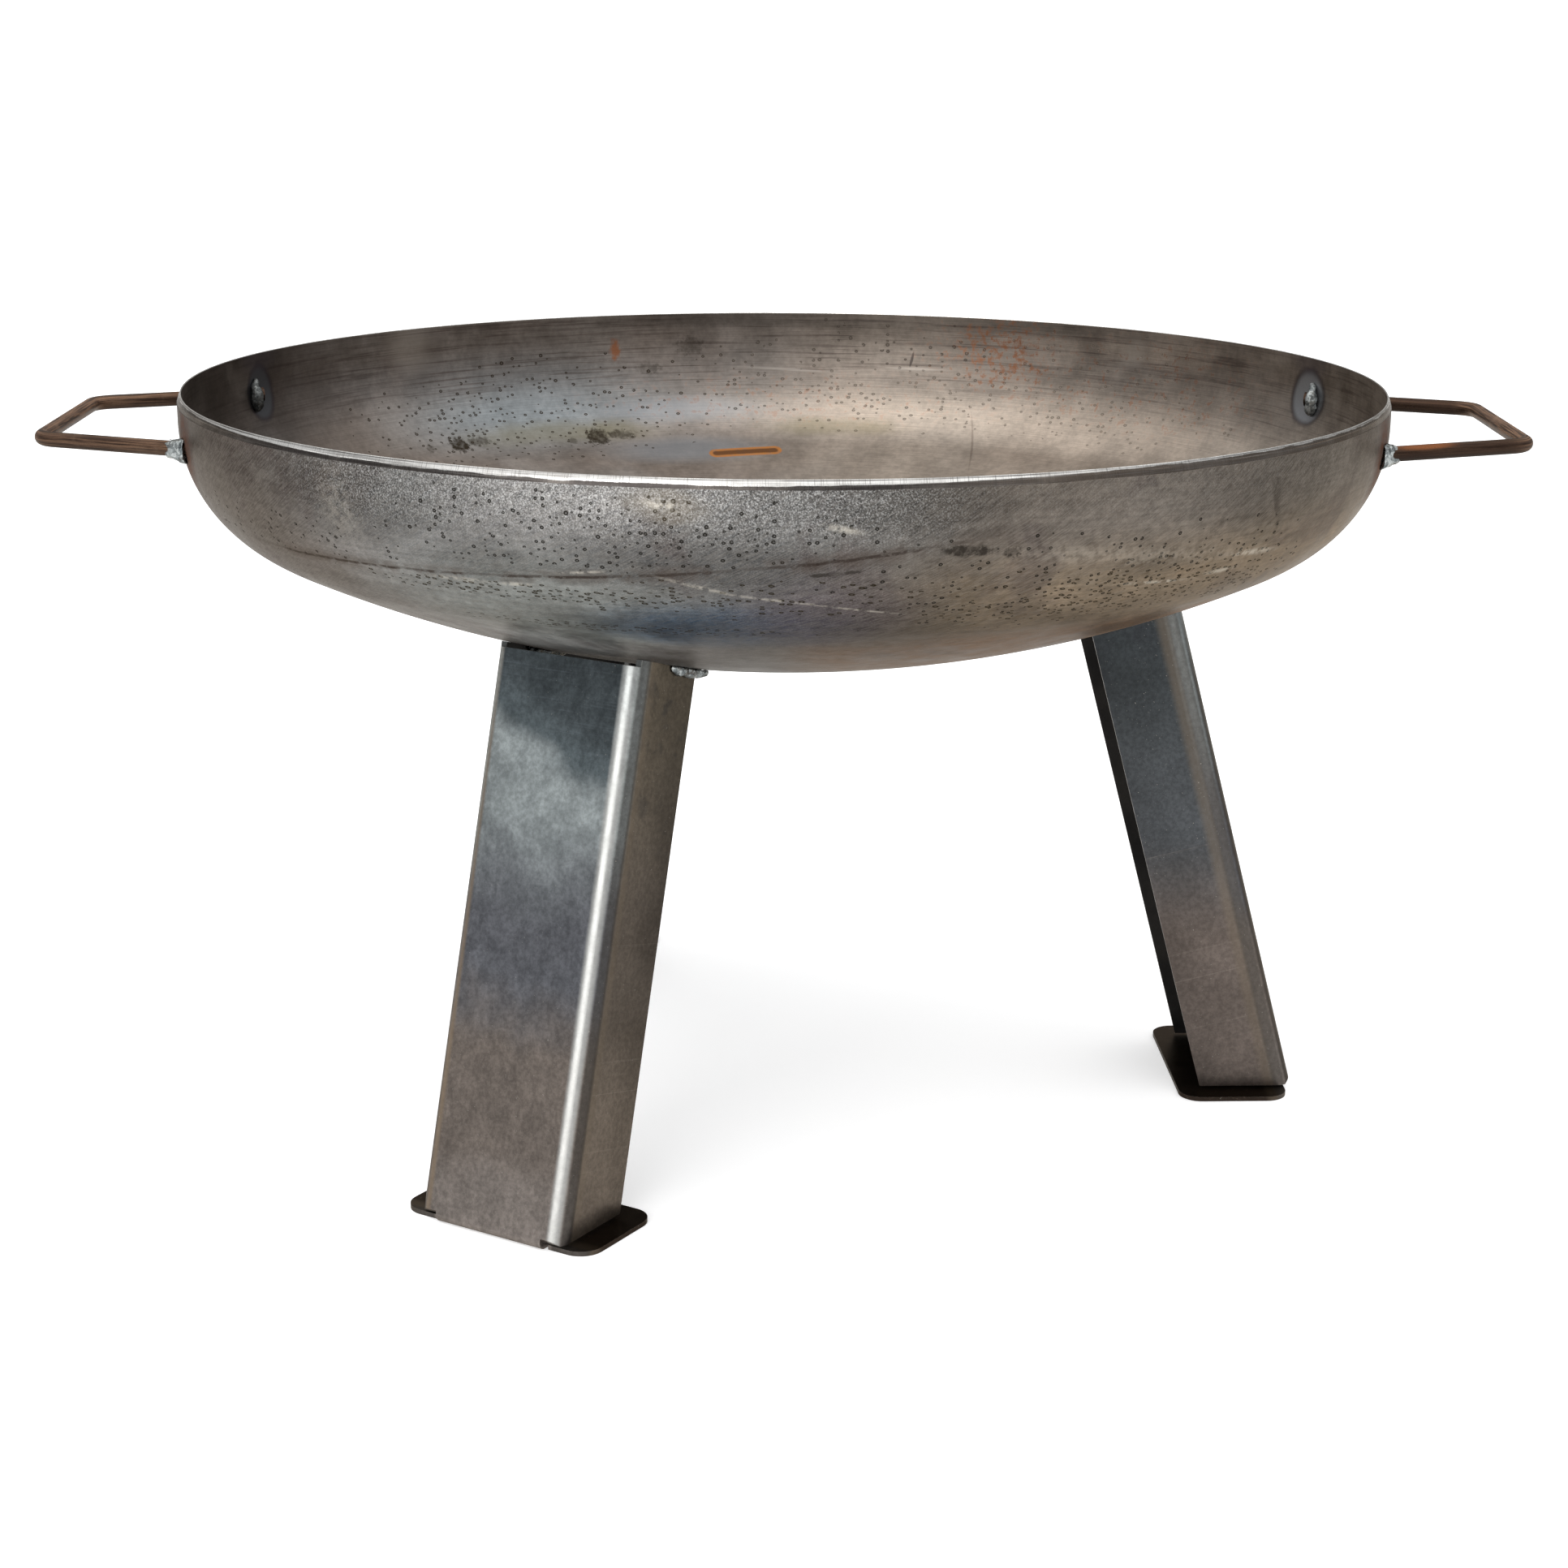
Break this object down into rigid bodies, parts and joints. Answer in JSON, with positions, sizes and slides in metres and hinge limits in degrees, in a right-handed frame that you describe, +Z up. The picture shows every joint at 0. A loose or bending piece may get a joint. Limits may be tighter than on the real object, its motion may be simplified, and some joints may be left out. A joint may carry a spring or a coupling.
{
  "type": "coal forge fire bowl",
  "caption": "Shallow dished steel fire bowl on splayed bent-sheet channel legs, with bent round-rod side handles, for a coal or wood fire.",
  "frame": {"origin": "on the ground under the bowl's axis", "axes": "+Z up along the bowl's axis, +X along the line through the two handles towards the leg that stands alone"},
  "size_m": [0.974, 0.8, 0.487],
  "materials": {
    "bowl_steel": "bare hot-rolled steel with mill scale and heat tints",
    "leg_steel": "bare hot-rolled sheet, smooth mill scale",
    "rod_steel": "bare hot-rolled bar with brown rust bloom",
    "weld_bead": "bright silver-grey weld metal"
  },
  "bodies": {
    "root": {"bowl": "bowl_steel", "handle_right": "rod_steel", "handle_right_front_weld_outer": "weld_bead", "handle_right_front_weld_inner": "weld_bead", "handle_right_rear_weld_outer": "weld_bead", "handle_right_rear_weld_inner": "weld_bead", "handle_left": "rod_steel", "handle_left_front_weld_outer": "weld_bead", "handle_left_front_weld_inner": "weld_bead", "handle_left_rear_weld_outer": "weld_bead", "handle_left_rear_weld_inner": "weld_bead", "leg_right": "leg_steel", "leg_right_weld_outer": "weld_bead", "leg_right_weld_inner": "weld_bead", "leg_front_left": "leg_steel", "leg_front_left_weld_outer": "weld_bead", "leg_front_left_weld_inner": "weld_bead", "leg_rear_left": "leg_steel", "leg_rear_left_weld_outer": "weld_bead", "leg_rear_left_weld_inner": "weld_bead"}
  },
  "joints": []
}
